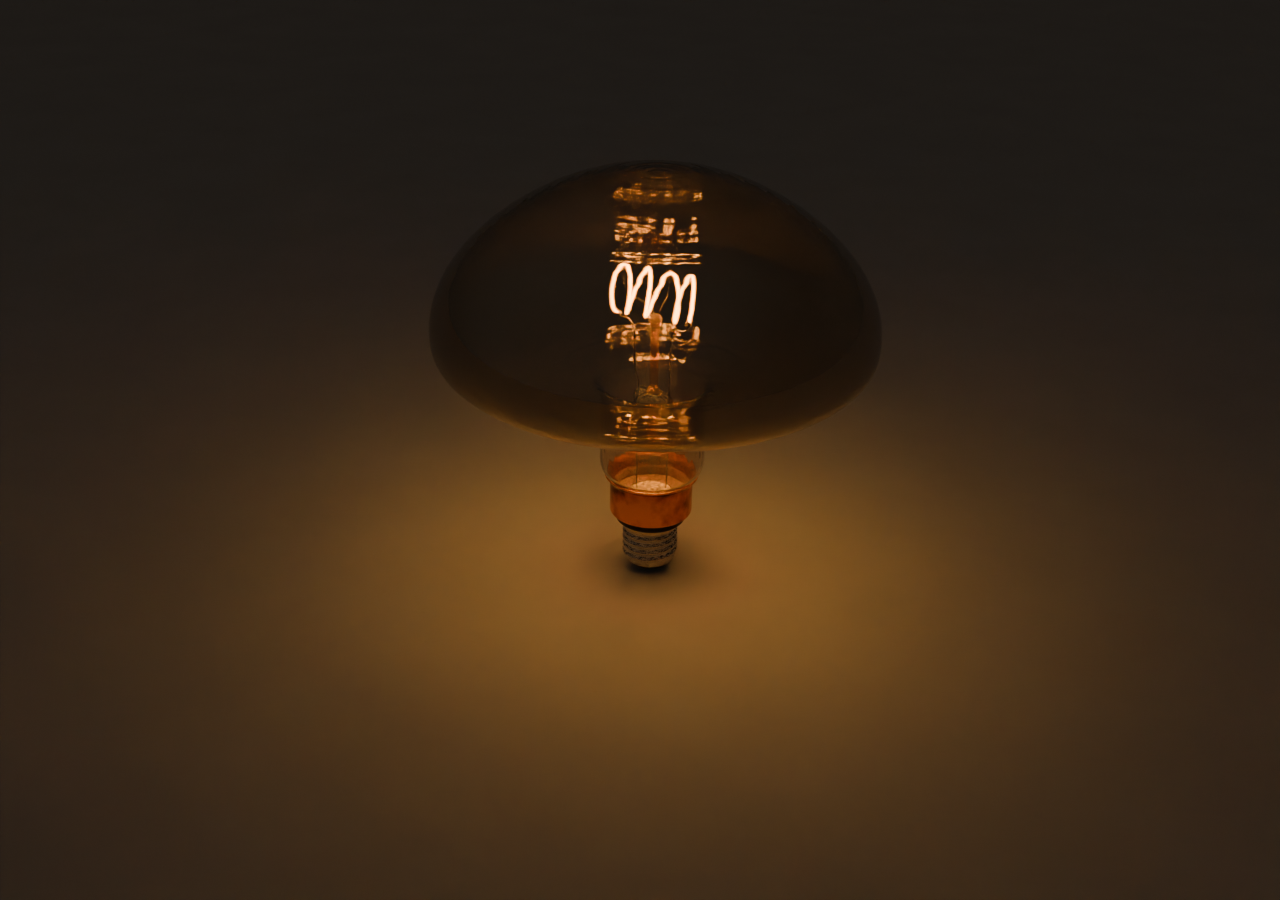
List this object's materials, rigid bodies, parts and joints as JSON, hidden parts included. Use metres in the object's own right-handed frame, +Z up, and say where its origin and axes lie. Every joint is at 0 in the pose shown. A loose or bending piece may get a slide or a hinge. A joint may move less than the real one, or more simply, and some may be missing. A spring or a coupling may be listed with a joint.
{
  "type": "smart light bulb",
  "caption": "Smart light bulb with a wide smoked mushroom envelope, a coiled amber LED filament on a glass stem, a flared copper collar and a screw cap.",
  "frame": {"origin": "centre of the cap's flat contact tip, where the bulb touches the bottom of its socket", "axes": "+Z up the bulb's axis from the contact to the crown of the envelope; -Y is the front, the side seen first; +X is to its right"},
  "size_m": [0.2, 0.2, 0.1955],
  "materials": {
    "smoked_glass": "smoke-tinted, half-mirrored, polished",
    "clear_glass": "clear, fire-polished",
    "lit_filament": "amber silicone over lit diodes",
    "nickel_wire": "drawn wire",
    "copper_plate": "polished copper plating",
    "bonding_cement": "rough, cured",
    "cap_shell": "nickel-plated, pressed",
    "cap_insulator": "black, moulded glassy",
    "contact_metal": "tinned",
    "housing_plastic": "dark, finely textured",
    "cover_plastic": "bronze, satin",
    "plate_plastic": "cream, satin",
    "circuit_board": "green solder mask",
    "module_board": "blue solder mask",
    "chip_moulding": "black epoxy",
    "tinned_can": "tinned sheet",
    "copper_track": "bare copper",
    "capacitor_sleeve": "heat-shrunk sleeve",
    "film_case": "dipped epoxy",
    "resistor_body": "lacquered, colour bands",
    "chip_resistor": "ceramic with glaze",
    "ferrite": "sintered",
    "enamelled_copper": "enamelled winding",
    "terminal_brass": "stamped",
    "red_insulation": "wire insulation",
    "black_insulation": "wire insulation"
  },
  "bodies": {
    "root": {"glass_envelope": "smoked_glass", "glass_stem": "clear_glass", "exhaust_tube": "clear_glass", "support_rod": "clear_glass", "led_filament": "lit_filament", "filament_terminal_left": "nickel_wire", "filament_terminal_right": "nickel_wire", "lead_wire_left": "nickel_wire", "lead_wire_right": "nickel_wire", "support_wire_1": "nickel_wire", "support_wire_2": "nickel_wire", "support_wire_3": "nickel_wire", "collar": "copper_plate", "bonding_ring": "bonding_cement", "screw_shell": "cap_shell", "cap_insulator": "cap_insulator", "centre_contact": "contact_metal", "driver_housing": "housing_plastic", "electronics_tray": "housing_plastic", "tray_cover": "cover_plastic", "wire_plate": "plate_plastic", "driver_board": "circuit_board", "control_board": "circuit_board", "radio_module": "module_board", "bulk_capacitor": "capacitor_sleeve", "fuse_resistor": "resistor_body", "bridge_rectifier": "chip_moulding", "inductor_core": "ferrite", "inductor_winding": "enamelled_copper", "film_capacitor": "film_case", "board_connector": "chip_moulding", "live_wire": "red_insulation", "neutral_wire": "black_insulation", "shield_can": "tinned_can", "clock_crystal": "tinned_can", "module_antenna": "copper_track", "driver_chip": "chip_moulding", "power_switch": "chip_moulding", "freewheel_diode": "chip_moulding", "sense_resistor": "chip_resistor", "output_terminal_left": "terminal_brass", "output_terminal_right": "terminal_brass"}
  },
  "joints": []
}
